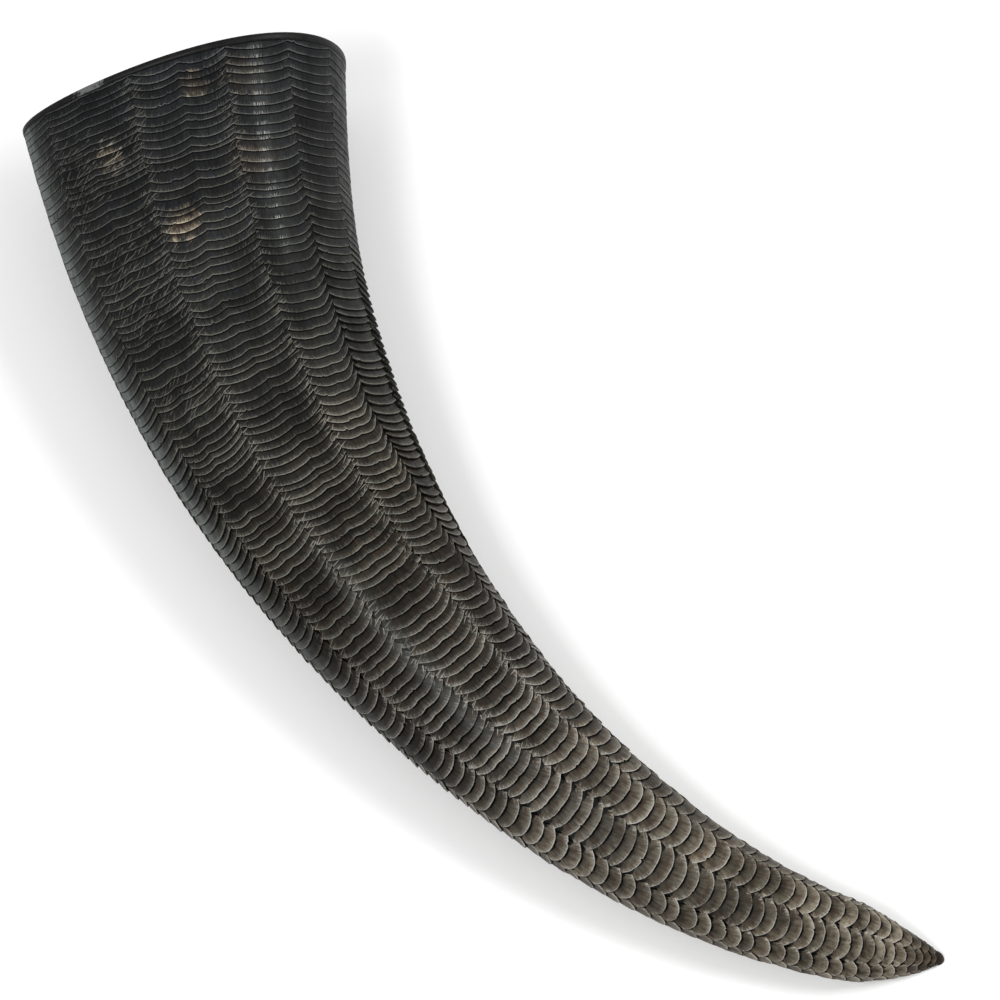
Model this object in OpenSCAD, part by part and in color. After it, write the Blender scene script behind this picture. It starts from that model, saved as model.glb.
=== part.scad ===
// A natural buffalo horn, cut square at the mouth and carved all over with overlapping scales.
// The horn lies on its flat side: its middle line is a plane curve, and its underside touches z = 0.
// X runs into the mouth along its axis, Y points to the inside of the curve, Z is up.
// Millimetres and degrees. A station is a place along the middle line, 0 at the mouth and 1 at the tip.

/* [Horn] */
// Length along the middle line
horn_len = 356; // [300:1:420]
// Width of the mouth, across the curve
mouth_w = 97; // [85:0.5:110]
// Thickness of the mouth, along Z
mouth_t = 65; // [58:0.5:74]
// Heading of the middle line at the mouth
lean_angle = -7; // [-10:0.5:0]
// Turn of the middle line that is spread evenly from mouth to tip
even_angle = 65.5; // [50:0.5:80]
// Turn that is gathered towards the tip
hook_angle = 17; // [0:0.5:24]
// Length of the rounded end, where the taper closes to a point
round_len = 27; // [22:0.5:34]

/* [Hollow] */
// Wall at the mouth
wall = 4; // [3:0.1:6]
// Depth of the hollow, along the middle line
hollow_len = 214; // [170:1:240]
// Length of the hollow wall; solid horn follows it
wall_len = 236; // [230:1:262]

/* [Polished ends] */
// Width of the polished band round the mouth
band_w = 2.2; // [1.8:0.1:4]
// Rounding of the band's lip
lip_r = 0.7; // [0.3:0.05:1]
// Length of the smooth point at the tip
point_len = 14; // [12:0.5:20]

/* [Scales] */
// Distance between rows of scales near the mouth
pitch_mouth = 2.5; // [2.3:0.05:3]
// Distance between rows where the scales are largest
pitch_peak = 4; // [3.7:0.05:4.6]
// Distance between rows next to the smooth point
pitch_tip = 3.5; // [3:0.05:3.6]
// Thickness of a scale
scale_t = 0.3; // [0.2:0.01:0.36]
// Air under a scale's free edge, above the next scale
scale_air = 0.2; // [0.18:0.01:0.3]
// Air between a scale's root and the horn under it
seat_air = 0.08; // [0.05:0.01:0.12]
// Air between a scale and the edge of its track
side_air = 0.2; // [0.15:0.01:0.4]
// Depth of the carving below the horn's full size, at the mouth
relief_mouth = 0.7; // [0.5:0.05:1]
// Depth of the carving at the tip, where the tracks are narrow and flat scales stand out more
relief_tip = 1.4; // [1.2:0.05:1.6]

/* [Hidden] */

// Shape of the taper, as shares of the mouth's width: loss from mouth to tip, and hollowness of the sides
taper_share = 0.81;
waist_share = 0.15;
// Extra width that the thickness gains towards the tip, as a share of the width
plump_share = 0.17;
// Lean of the section's fullness towards the inside of the curve, at the mouth
egg_share = 0.3;
// Power of the hook's formula: a high power keeps the hook near the tip
hook_power = 8;
// Powers of the pointed end: how late it starts to close, and how bluntly it ends
close_power = 1.5;
blunt_power = 0.6;
// Share of the length over which the square mouth turns into sections square to the middle line
square_share = 0.1;
// Power of the hollow's end: a high power closes it late and bluntly
hollow_power = 4;
// Angles between which the top of every section lies
crown_angles = [60 : 2 : 90];
// Sweep of the round point, just short of a quarter turn, so that it ends in a small flat
point_angle = 88;

// Edges of the twelve tracks round the section, 0 at the inside of the curve and 90 on top
mouth_angles = [20, 46, 73, 108, 146, 176, 206, 240, 272, 301, 327, 353];
tip_angles = [-26, -2, 40, 79, 130, 160, 186, 212, 240, 266, 290, 312];
// Stations between which the tracks drift from one set of edges to the other
drift_shares = [0.35, 0.9];
// Stations between which the rows grow, and between which they shrink again
grow_shares = [0.25, 0.8];
shrink_shares = [0.88, 1];
// Straight side and bulge of a scale, as shares of the distance between rows
side_share = 1.15;
bulge_share = 1.1;

path_steps = 240;
// Keeps the last station inside the last step of the middle line
last_step_share = 0.999;
wall_rings = 36;
hollow_rings = 16;
end_rings = 16;
point_rings = 6;
lip_rings = 3;
tracks = len(mouth_angles);
// Facets of a smooth section for each track
track_facets = 3;
edge_steps = 4;
horn_grey = [0.25, 0.24, 0.23];
horn_black = [0.13, 0.12, 0.12];
scale_grey = [0.36, 0.35, 0.33];
scale_dark = [0.29, 0.28, 0.27];

// Plain helpers
function smooth(x) = let (c = max(0, min(1, x))) c * c * (3 - 2 * c);
function ramp(x, ends) = smooth((x - ends[0]) / (ends[1] - ends[0]));
function unit(v) = v / norm(v);
function mix(a, b, share) = a + (b - a) * share;

// Middle line
function heading(u) = lean_angle + even_angle * u + hook_angle * pow(u, hook_power);
path = [for (i = 0, p = [0, 0]; i <= path_steps;
             p = p + horn_len / path_steps * [cos(heading((i + 0.5) / path_steps)), sin(heading((i + 0.5) / path_steps))],
             i = i + 1) p];
function place(u) = let (k = min(u * path_steps, path_steps - 1 + last_step_share), i = floor(k)) mix(path[i], path[i + 1], k - i);
// Turn of the section: square to X at the mouth, square to the middle line further on
function turn(u) = heading(u) * min(1, u / square_share);

// Section: half width, half thickness and lean at a station
round_from = 1 - round_len / horn_len;
function closing(u) = u <= round_from ? 1
    : pow(max(0, 1 - pow((u - round_from) / (1 - round_from), close_power)), blunt_power);
function half_w(u) = mouth_w / 2 * (1 - (taper_share + waist_share) * u + waist_share * u * u) * closing(u);
function half_t(u) = half_w(u) * (mouth_t / mouth_w + plump_share * u);
function egg(u) = egg_share * (1 - u);
function crown(u) = max([for (t = crown_angles) sin(t) * (1 + egg(u) * cos(t))]);
function floor_z(u) = half_t(u) * crown(u);

// Bounding box of the full-size horn, from its widest points
side_points = [for (i = [0 : path_steps], side = [-1, 1]) let (u = i / path_steps)
               place(u) + side * half_w(u) * [-sin(turn(u)), cos(turn(u))]];
side_x = [for (p = side_points) p[0]];
side_y = [for (p = side_points) p[1]];
centre = [(min(side_x) + max(side_x)) / 2, (min(side_y) + max(side_y)) / 2];

// Point of the section at angle t, drawn in by inset, with the part's origin under the middle of its box
function horn_point(u, t, inset = 0) =
    let (c = place(u) - centre,
         across = (half_w(u) - inset) * cos(t),
         up = (half_t(u) - inset) * sin(t) * (1 + egg(u) * cos(t)))
    [c[0] - across * sin(turn(u)), c[1] + across * cos(turn(u)), floor_z(u) + up];

// Track edges, and the angles of a smooth section that has a corner on each of them
function edge_angle(k, u) =
    let (lap = floor(k / tracks), i = k - lap * tracks)
    mix(mouth_angles[i], tip_angles[i], ramp(u, drift_shares)) + 360 * lap;
function smooth_angle(k, u) =
    let (i = floor(k / track_facets)) mix(edge_angle(i, u), edge_angle(i + 1, u), k / track_facets - i);

// Hollow: the wall is even at the mouth, and the hollow closes to a rounded end
function hollow_share(u) = sqrt(max(0, 1 - pow(u * horn_len / hollow_len, hollow_power)));
function hollow_point(u, t) =
    let (c = place(u) - centre,
         across = (half_w(u) - wall) * hollow_share(u) * cos(t),
         up = (half_t(u) - wall) * hollow_share(u) * sin(t) * (1 + egg(u) * cos(t)))
    [c[0] - across * sin(turn(u)), c[1] + across * cos(turn(u)), floor_z(u) + up];

// A closed skin over rings that all have the same number of points; the last ring joins the first if looped
module loft(rings, looped = false) {
    n = len(rings[0]);
    m = len(rings);
    points = [for (r = rings) each r];
    last = looped ? m - 1 : m - 2;
    sides = [for (i = [0 : last], j = [0 : n - 1])
             let (a = i * n + j, b = i * n + (j + 1) % n, k = (i + 1) % m, c = k * n + (j + 1) % n, d = k * n + j)
             each [[a, b, c], [a, c, d]]];
    first_cap = [for (j = [1 : n - 2]) [0, j + 1, j]];
    last_cap = [for (j = [1 : n - 2]) [(m - 1) * n, (m - 1) * n + j, (m - 1) * n + j + 1]];
    polyhedron(points, looped ? sides : concat(sides, first_cap, last_cap), convexity = 4);
}

// Faceted ring of the carved horn: one corner on each track edge, at the bottom of the carving
function relief(u) = mix(relief_mouth, relief_tip, u);
function core_point(u, k) = horn_point(u, edge_angle(k, u), relief(u));
function core_ring(u) = [for (k = [0 : tracks - 1]) core_point(u, k)];
function smooth_ring(u, inset) = [for (k = [0 : tracks * track_facets - 1]) horn_point(u, smooth_angle(k, u), inset)];
function hollow_ring(u) = [for (k = [0 : tracks * track_facets - 1]) hollow_point(u, smooth_angle(k, u))];

// Polished band: a short smooth tube with a rounded lip, square to X
module mouth_band() {
    band_u = band_w / horn_len;
    outer = [for (i = [0 : lip_rings]) let (a = 90 * i / lip_rings)
             smooth_ring(lip_r * (1 - cos(a)) / horn_len, lip_r * (1 - sin(a)))];
    back = [smooth_ring(band_u, 0), hollow_ring(band_u)];
    inner = [for (i = [lip_rings : -1 : 0]) let (a = 90 * i / lip_rings)
             [for (k = [0 : tracks * track_facets - 1])
              let (t = smooth_angle(k, 0), u = lip_r * (1 - cos(a)) / horn_len,
                   in = hollow_point(u, t), out = horn_point(u, t))
              in + unit(out - in) * lip_r * (1 - sin(a))]];
    color(horn_black) loft(concat(outer, back, inner), looped = true);
}

// Hollow wall: faceted outside, smooth inside, with a flat end at each side of the carved length
module horn_wall() {
    n = tracks;
    f = track_facets;
    u0 = band_w / horn_len;
    u1 = wall_len / horn_len;
    u2 = hollow_len / horn_len;
    outer = [for (i = [0 : wall_rings]) core_ring(mix(u0, u1, i / wall_rings))];
    inner = [for (i = [0 : hollow_rings - 1]) hollow_ring(mix(u0, u2, sin(90 * i / hollow_rings)))];
    pole = hollow_point(u2, 0);
    out_points = [for (r = outer) each r];
    in_points = [for (r = inner) each r];
    base = len(out_points);
    m = n * f;
    out_sides = [for (i = [0 : wall_rings - 1], j = [0 : n - 1])
                 let (a = i * n + j, b = i * n + (j + 1) % n, c = b + n, d = a + n) each [[a, b, c], [a, c, d]]];
    in_sides = [for (i = [0 : hollow_rings - 2], j = [0 : m - 1])
                let (a = base + i * m + j, b = base + i * m + (j + 1) % m, c = b + m, d = a + m)
                each [[a, c, b], [a, d, c]]];
    pole_at = base + len(in_points);
    pole_fan = [for (j = [0 : m - 1]) let (r = base + (hollow_rings - 1) * m) [r + j, pole_at, r + (j + 1) % m]];
    far_cap = [for (j = [1 : n - 2]) [wall_rings * n, wall_rings * n + j, wall_rings * n + j + 1]];
    mouth_cap = [for (j = [0 : n - 1])
                 each concat([for (i = [0 : f - 1]) [j, base + j * f + i, base + (j * f + i + 1) % m]],
                             [[j, base + ((j + 1) * f) % m, (j + 1) % n]])];
    color(horn_grey)
        polyhedron(concat(out_points, in_points, [pole]),
                   concat(out_sides, in_sides, pole_fan, far_cap, mouth_cap), convexity = 6);
}

// Solid horn beyond the hollow wall
module solid_end() {
    u0 = wall_len / horn_len;
    u1 = 1 - point_len / horn_len;
    color(horn_grey) loft([for (i = [0 : end_rings]) core_ring(mix(u0, u1, i / end_rings))]);
}

// Smooth point: round and full size, closed by a small flat
module smooth_point() {
    u0 = 1 - point_len / horn_len;
    color(horn_black)
        loft([for (i = [0 : point_rings]) smooth_ring(mix(u0, 1, sin(point_angle * i / point_rings)), 0)]);
}

// Rows of scales: the first root stands clear of the band, the last free edge clear of the smooth point
function pitch(s) = let (u = s / horn_len)
    pitch_mouth + (pitch_peak - pitch_mouth) * ramp(u, grow_shares) - (pitch_peak - pitch_tip) * ramp(u, shrink_shares);
scale_step = scale_t + scale_air;
function reach(s) = pitch(s) * (side_share + bulge_share);
function rows(shift) = [for (s = band_w + scale_step + shift * pitch_mouth;
                             s + reach(s) < horn_len - point_len; s = s + pitch(s)) s];

// One scale: a thin plate with a bulging free edge, raised like a roof tile over the next one.
// Its root lies along the row, and its sides follow the track, which may cross the row at a slant.
module scale_plate(k, s) {
    p = pitch(s);
    u0 = s / horn_len;
    u1 = (s + p) / horn_len;
    a0 = core_point(u0, k);
    b0 = core_point(u0, k + 1);
    a1 = core_point(u1, k);
    b1 = core_point(u1, k + 1);
    half = min(norm(a0 - b0), norm(a1 - b1)) / 2 - side_air;
    along = unit(a1 + b1 - a0 - b0);
    across = unit(a0 - b0);
    out = unit(cross(along, across));
    ahead = cross(across, out);
    slant = (along * across) / (along * ahead);
    tilt = asin(scale_step / p);
    ex = ahead * cos(tilt) + out * sin(tilt);
    ez = out * cos(tilt) - ahead * sin(tilt);
    root = (a0 + b0) / 2 + out * seat_air;
    side = p * side_share;
    bulge = p * bulge_share;
    edge = [for (i = [0 : edge_steps]) let (a = 180 * i / edge_steps - 90) [side + bulge * cos(a), half * sin(a)]];
    outline = concat([[0, -half]], edge, [[0, half]]);
    multmatrix([[ex[0], across[0], ez[0], root[0]],
                [ex[1], across[1], ez[1], root[1]],
                [ex[2], across[2], ez[2], root[2]],
                [0, 0, 0, 1]])
        linear_extrude(scale_t)
        polygon([for (q = outline) [q[0], q[1] + slant * q[0]]]);
}

// One track of scales, from the mouth to the smooth point; every second track is half a row further on
module scale_track(k) {
    color(k % 2 == 0 ? scale_grey : scale_dark)
        for (s = rows(k % 2 / 2)) scale_plate(k, s);
}

mouth_band();
horn_wall();
solid_end();
smooth_point();
scale_track(0);  // scale_track_01
scale_track(1);  // scale_track_02
scale_track(2);  // scale_track_03
scale_track(3);  // scale_track_04
scale_track(4);  // scale_track_05
scale_track(5);  // scale_track_06
scale_track(6);  // scale_track_07
scale_track(7);  // scale_track_08
scale_track(8);  // scale_track_09
scale_track(9);  // scale_track_10
scale_track(10);  // scale_track_11
scale_track(11);  // scale_track_12
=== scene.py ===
"""A scale-carved buffalo horn, dressed for a plain studio picture.

The horn lies on its flat side. It is hollow from its wide mouth, solid towards its point, and carved all over
with twelve tracks of overlapping scales between a polished band and a smooth point.

Lengths are in millimetres until a vertex is placed. A station is a place along the horn's middle line, 0 at
the mouth and 1 at the tip, and a span is the two stations between which something sets in. Angles go round
the section: 0 at the inside of the curve, 90 degrees on top.
"""

from __future__ import annotations

import logging
import math
import random
from dataclasses import dataclass, field, replace
from enum import Enum
from typing import Callable

import bmesh
import bpy
from mathutils import Matrix, Vector, noise

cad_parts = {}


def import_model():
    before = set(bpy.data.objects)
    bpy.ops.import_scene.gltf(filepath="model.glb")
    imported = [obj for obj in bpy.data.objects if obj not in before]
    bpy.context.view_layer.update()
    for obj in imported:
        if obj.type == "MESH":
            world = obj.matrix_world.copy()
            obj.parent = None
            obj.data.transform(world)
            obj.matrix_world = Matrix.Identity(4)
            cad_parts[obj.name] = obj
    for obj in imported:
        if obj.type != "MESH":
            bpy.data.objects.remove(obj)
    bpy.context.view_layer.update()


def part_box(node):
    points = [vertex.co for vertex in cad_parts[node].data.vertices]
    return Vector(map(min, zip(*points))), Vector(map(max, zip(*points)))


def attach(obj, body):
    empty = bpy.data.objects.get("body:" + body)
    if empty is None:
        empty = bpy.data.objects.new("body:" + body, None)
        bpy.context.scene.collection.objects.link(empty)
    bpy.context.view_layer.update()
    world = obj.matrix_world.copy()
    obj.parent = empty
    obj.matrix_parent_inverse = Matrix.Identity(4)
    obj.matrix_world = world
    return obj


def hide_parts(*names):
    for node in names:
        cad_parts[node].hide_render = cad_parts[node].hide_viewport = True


log = logging.getLogger("carved_horn")

MM = 0.001
MERGE_DISTANCE = 1e-7

Pair = tuple[float, float]
Triple = tuple[float, float, float]
Stops = tuple[Pair, ...]
ColourStops = tuple[tuple[float, str], ...]
Lattice = list[list[bmesh.types.BMVert]]
Plug = bpy.types.NodeSocket


def mix(low: float, high: float, share: float) -> float:
    """Returns the value that lies a share of the way from low to high."""
    return low + (high - low) * share


def ramp(value: float, start: float, end: float) -> float:
    """Returns a smooth rise from 0 at start to 1 at end."""
    share = max(0.0, min(1.0, (value - start) / (end - start)))
    return share * share * (3 - 2 * share)


def bell(value: float, centre: float, spread: float) -> float:
    """Returns a smooth hump, 1 at its centre."""
    return math.exp(-(((value - centre) / spread) ** 2))


def between(stops: Stops, place: float) -> float:
    """Reads a line of stops.

    Args:
        stops: (place, value) pairs, in order.
        place: where to read it.

    Returns:
        The value there; past the last stop, the last value.
    """
    for (start, low), (end, high) in zip(stops, stops[1:]):
        if place <= end:
            return mix(low, high, (place - start) / (end - start))
    return stops[-1][1]


def linear(hex_colour: str) -> tuple[float, float, float, float]:
    """Turns an sRGB hex colour into linear RGBA.

    Args:
        hex_colour: the colour as "#rrggbb".

    Returns:
        Red, green, blue and an alpha of 1, as the shader's sockets take them.
    """
    parts = (int(hex_colour[i : i + 2], 16) / 255 for i in (1, 3, 5))
    red, green, blue = (p / 12.92 if p <= 0.04045 else ((p + 0.055) / 1.055) ** 2.4 for p in parts)
    return red, green, blue, 1.0


@dataclass(frozen=True)
class Section:
    """One cross-section of the horn at its full size, in millimetres in the part's frame."""

    x: float
    y: float
    floor: float
    turn: float
    half_width: float
    half_thickness: float
    egg: float

    def point(self, angle: float, inset: float = 0.0, share: float = 1.0) -> Vector:
        """Places a point of the section.

        Args:
            angle: where on the section, in radians.
            inset: how far below the full size, in millimetres.
            share: scale of the section about its middle, for the hollow's closed end.

        Returns:
            The point in metres.
        """
        across = (self.half_width - inset) * share * math.cos(angle)
        up = (self.half_thickness - inset) * share * math.sin(angle) * (1 + self.egg * math.cos(angle))
        x = self.x - across * math.sin(self.turn)
        y = self.y + across * math.cos(self.turn)
        return Vector((x, y, self.floor + up)) * MM


@dataclass(frozen=True)
class HornForm:
    """The horn's course, taper and section, in millimetres and degrees."""

    origin: Pair
    length: float = 356.0
    mouth_width: float = 97.0
    mouth_thickness: float = 65.0
    mouth_lean: float = -7.0
    even_turn: float = 65.5
    hook_turn: float = 17.0
    hook_power: float = 8.0
    round_length: float = 27.0
    close_power: float = 1.5
    blunt_power: float = 0.6
    taper_share: float = 0.81
    waist_share: float = 0.15
    plump_share: float = 0.17
    egg_share: float = 0.3
    least_egg: float = 0.001
    square_share: float = 0.1
    wall: float = 4.0
    hollow_length: float = 214.0
    hollow_power: float = 4.0
    path: list[Pair] = field(default_factory=list)
    path_steps: int = 480

    def __post_init__(self) -> None:
        """Walks the middle line once, from the mouth to the tip."""
        x, y = self.origin
        self.path.append((x, y))
        step = self.length / self.path_steps
        for i in range(self.path_steps):
            heading = self.heading((i + 0.5) / self.path_steps)
            x += step * math.cos(heading)
            y += step * math.sin(heading)
            self.path.append((x, y))

    def heading(self, station: float) -> float:
        """Returns the middle line's heading in radians."""
        bend = self.mouth_lean + self.even_turn * station + self.hook_turn * station**self.hook_power
        return math.radians(bend)

    def half_width(self, station: float) -> float:
        """Works out half the horn's width, with its end rounded to a point.

        Args:
            station: where along the horn.

        Returns:
            The half width.
        """
        round_from = 1 - self.round_length / self.length
        closing = 1.0
        if station > round_from:
            share = (station - round_from) / (1 - round_from)
            closing = max(0.0, 1 - share**self.close_power) ** self.blunt_power
        taper = 1 - (self.taper_share + self.waist_share) * station + self.waist_share * station**2
        return self.mouth_width / 2 * taper * closing

    def section(self, station: float) -> Section:
        """Cuts the horn across.

        Args:
            station: where along the horn; past its ends, the end is meant.

        Returns:
            The cross-section, with its underside on the table.
        """
        station = max(0.0, min(1.0, station))
        walk = min(station * self.path_steps, self.path_steps - 0.001)
        step = int(walk)
        share = walk - step
        (x0, y0), (x1, y1) = self.path[step], self.path[step + 1]
        width = self.half_width(station)
        thickness = width * (self.mouth_thickness / self.mouth_width + self.plump_share * station)
        egg = self.egg_share * (1 - station)
        crown_angle = math.pi / 2
        if egg > self.least_egg:
            crown_angle = math.acos((math.sqrt(1 + 8 * egg * egg) - 1) / (4 * egg))
        crown = math.sin(crown_angle) * (1 + egg * math.cos(crown_angle))
        turn = self.heading(station) * min(1.0, station / self.square_share)
        return Section(mix(x0, x1, share), mix(y0, y1, share), thickness * crown, turn, width, thickness, egg)

    def at(self, along: float) -> Section:
        """Returns the cross-section at a distance in millimetres along the middle line."""
        return self.section(along / self.length)

    def hollow_share(self, along: float) -> float:
        """Returns how much of its even size the hollow still has at a distance along the middle line."""
        return math.sqrt(max(0.0, 1 - (along / self.hollow_length) ** self.hollow_power))


@dataclass(frozen=True)
class TrackPlan:
    """How the carver laid out the tracks and rows of scales.

    The edges are the angles of the tracks' edges at the knots, in degrees, and the pitches the distances
    between rows by station. The uneven pair is how much those vary, before and past its span.
    """

    length: float
    knots: tuple[float, ...] = (0.0, 0.33, 0.5, 0.65, 0.8, 1.0)
    edges: tuple[tuple[float, ...], ...] = (
        (24, 20, 8, -5, -20, -26),
        (48, 45, 30, 18, 5, -2),
        (73, 72, 62, 55, 45, 26),
        (107, 110, 105, 93, 86, 79),
        (147, 146, 139, 130, 130, 129),
        (176, 176, 172, 166, 163, 160),
        (206, 206, 202, 197, 190, 186),
        (240, 240, 237, 228, 218, 212),
        (272, 271, 267, 257, 246, 240),
        (301, 300, 294, 284, 272, 266),
        (328, 327, 320, 309, 296, 290),
        (356, 354, 344, 330, 318, 312),
    )
    pitches: Stops = (
        (0.0, 2.35), (0.25, 2.4), (0.33, 2.65), (0.45, 2.95), (0.58, 3.35),
        (0.67, 3.95), (0.76, 4.15), (0.9, 4.05), (0.95, 3.5), (1.0, 1.7),
    )
    wander: float = 0.9
    wander_length: float = 13.0
    wander_seed: float = 7.3
    first_row: float = 2.3
    ring_seed: int = 77
    uneven: Pair = (0.11, 0.07)
    uneven_span: Pair = (0.4, 0.6)
    least: float = 0.5
    most: float = 1.6

    @property
    def count(self) -> int:
        """Returns the number of tracks round the horn."""
        return len(self.edges)

    def edge(self, number: int, along: float) -> float:
        """Returns the angle of a track's edge, which wanders a little as a hand-cut line does.

        Args:
            number: which edge, from 0; the number of tracks is the first edge again.
            along: distance along the middle line, in millimetres.

        Returns:
            The angle in radians.
        """
        lap, i = divmod(number, self.count)
        steady = between(tuple(zip(self.knots, self.edges[i])), along / self.length)
        wobble = noise.noise(Vector((along / self.wander_length, i * self.wander_seed, 0.5))) * self.wander
        return math.radians(steady + wobble + 360 * lap)

    def pitch(self, station: float) -> float:
        """Returns the distance between rows at a station."""
        return between(self.pitches, station)

    def rings(self) -> list[float]:
        """Lays out the rings of scales, which the carver cut one after the other round the horn.

        Returns:
            The distance of every ring along the middle line.
        """
        hand = random.Random(self.ring_seed)
        rings = [self.first_row]
        while rings[-1] < self.length:
            station = rings[-1] / self.length
            share = hand.gauss(1, mix(*self.uneven, ramp(station, *self.uneven_span)))
            rings.append(rings[-1] + self.pitch(station) * max(self.least, min(self.most, share)))
        return rings


def placed(name: str, bm: bmesh.types.BMesh) -> bpy.types.Object:
    """Turns a finished bmesh into an object of the scene.

    Args:
        name: the object's and the mesh's name.
        bm: the bmesh, which is freed.

    Returns:
        The new object.
    """
    mesh = bpy.data.meshes.new(name)
    bm.to_mesh(mesh)
    bm.free()
    piece = bpy.data.objects.new(name, mesh)
    bpy.context.scene.collection.objects.link(piece)
    return piece


def wrapped_mesh(
    name: str,
    columns: int,
    rows: int,
    place: Callable[[int, int], Vector],
    mark: Callable[[bmesh.types.BMesh, Lattice, list], None] | None = None,
    attributes: tuple[str, ...] = (),
    ring: bool = False,
) -> bpy.types.Object:
    """Bends a flat grid into a closed tube, whose end rows are filled, or merged in a ring.

    Args:
        name: the piece's name.
        columns: faces round the tube.
        rows: faces along the tube.
        place: gives a vertex its place from its column and row.
        mark: sets attributes and sharp edges while the grid's rows and columns are still known.
        attributes: names of the vertex vectors that mark fills.
        ring: whether the last row meets the first.

    Returns:
        The new object, at the origin, with smooth faces.
    """
    bm = bmesh.new()
    layers = [bm.verts.layers.float_vector.new(attribute) for attribute in attributes]
    bmesh.ops.create_grid(bm, x_segments=columns, y_segments=rows, size=0.5)
    lattice: Lattice = [[None] * (columns + 1) for _ in range(rows + 1)]
    for vertex in bm.verts:
        lattice[round((vertex.co.y + 0.5) * rows)][round((vertex.co.x + 0.5) * columns)] = vertex
    for row, line in enumerate(lattice):
        for column, vertex in enumerate(line):
            vertex.co = place(column % columns, row % rows if ring else row)
    if mark:
        mark(bm, lattice, layers)
    bmesh.ops.remove_doubles(bm, verts=bm.verts, dist=MERGE_DISTANCE)
    if not ring:
        bmesh.ops.holes_fill(bm, edges=[e for e in bm.edges if e.is_boundary], sides=0)
    bmesh.ops.recalc_face_normals(bm, faces=bm.faces)
    for face in bm.faces:
        face.smooth = True
    return placed(name, bm)


@dataclass(frozen=True)
class TrackCut:
    """How one track is cut; depths in millimetres.

    The arcs are the bow of its free edges near the mouth, in the middle and past it, and the lobes their
    depth in the first two. The slips say how much more widely its rows are set than the rings, near the mouth
    and past the middle. For its high and low end, recede is how far the free edges fall back, the cusp
    shadows are the depth of painted shadow in the nicks there, and the whiskers say how many stray marks
    cross it. The fray is how far the edges stand out, and the shades are how light the horn is by station.
    """

    columns: int = 28
    arcs: Triple = (1.2, 1.8, 2.3)
    lobes: Pair = (0.0, 0.0)
    slips: Pair = (0.0, 0.0)
    recede: Pair = (0.0, 0.0)
    # Depth of the painted shadow in the nicks at each end.
    cusp_shadows: Pair = (0.0, 0.0)
    whiskers: Pair = (0.0, 0.0)
    fray: float = 0.0
    shades: Stops = ((0.0, 1.0), (1.0, 1.0))


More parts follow.
